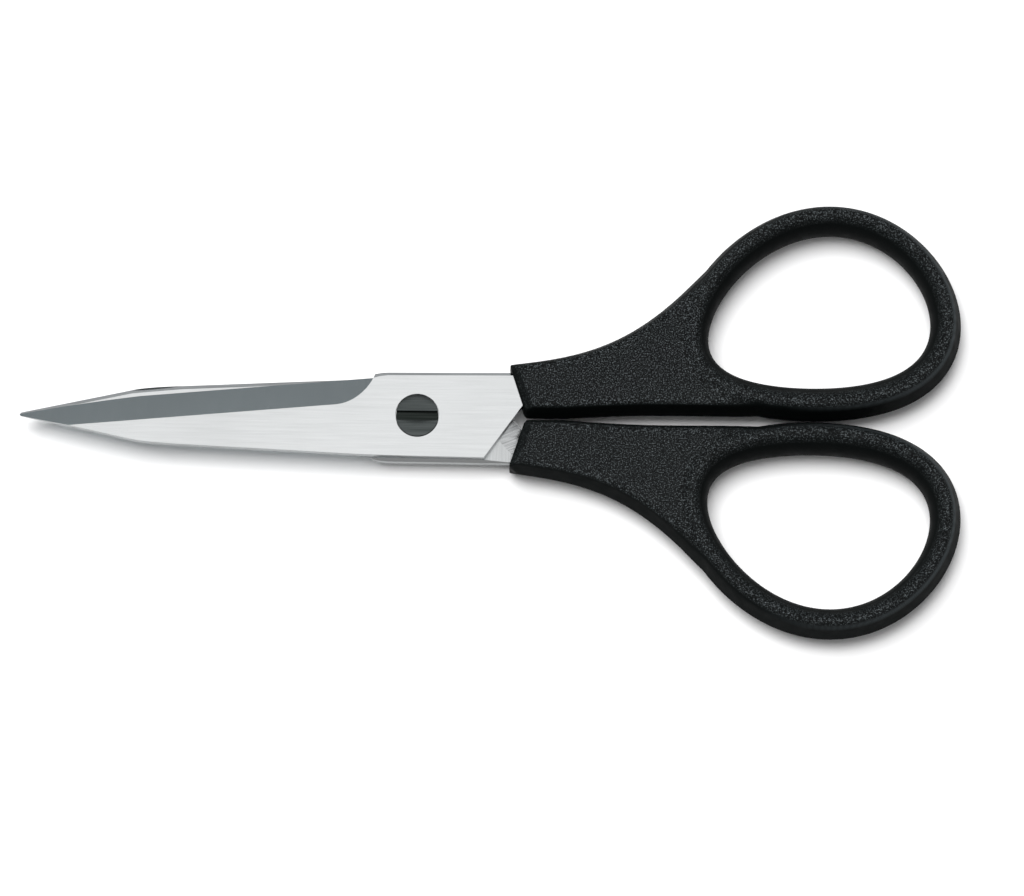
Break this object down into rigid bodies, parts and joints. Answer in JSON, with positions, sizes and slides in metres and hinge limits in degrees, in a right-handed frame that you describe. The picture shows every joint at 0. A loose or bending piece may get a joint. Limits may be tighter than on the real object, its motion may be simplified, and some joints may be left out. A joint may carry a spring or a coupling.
{
  "type": "scissors",
  "caption": "Small straight scissors with pointed ground steel blades, a slotted pivot screw and equal closed finger rings in black moulded plastic.",
  "frame": {"origin": "middle of the outline, on the surface that the rings lie on when the scissors lie flat and closed", "axes": "+X from the tip to the rings along the length, +Z out of the front blade's face, +Y towards the upper ring"},
  "size_m": [0.1, 0.047, 0.0064],
  "materials": {
    "blade_steel": "satin ground stainless steel",
    "handle_plastic": "fine-grained moulded black plastic",
    "screw_steel": "dark ground steel"
  },
  "bodies": {
    "lower_half": {"rear_blade": "blade_steel", "lower_handle": "handle_plastic", "pivot_screw": "screw_steel"},
    "upper_half": {"front_blade": "blade_steel", "upper_handle": "handle_plastic"}
  },
  "joints": [
    {"name": "blade_pivot", "type": "hinge", "parent": "lower_half", "child": "upper_half", "pos_m": [-0.00775, 0, 0.0032], "axis": [0, 0, 1], "range_deg": [0, 128]}
  ]
}
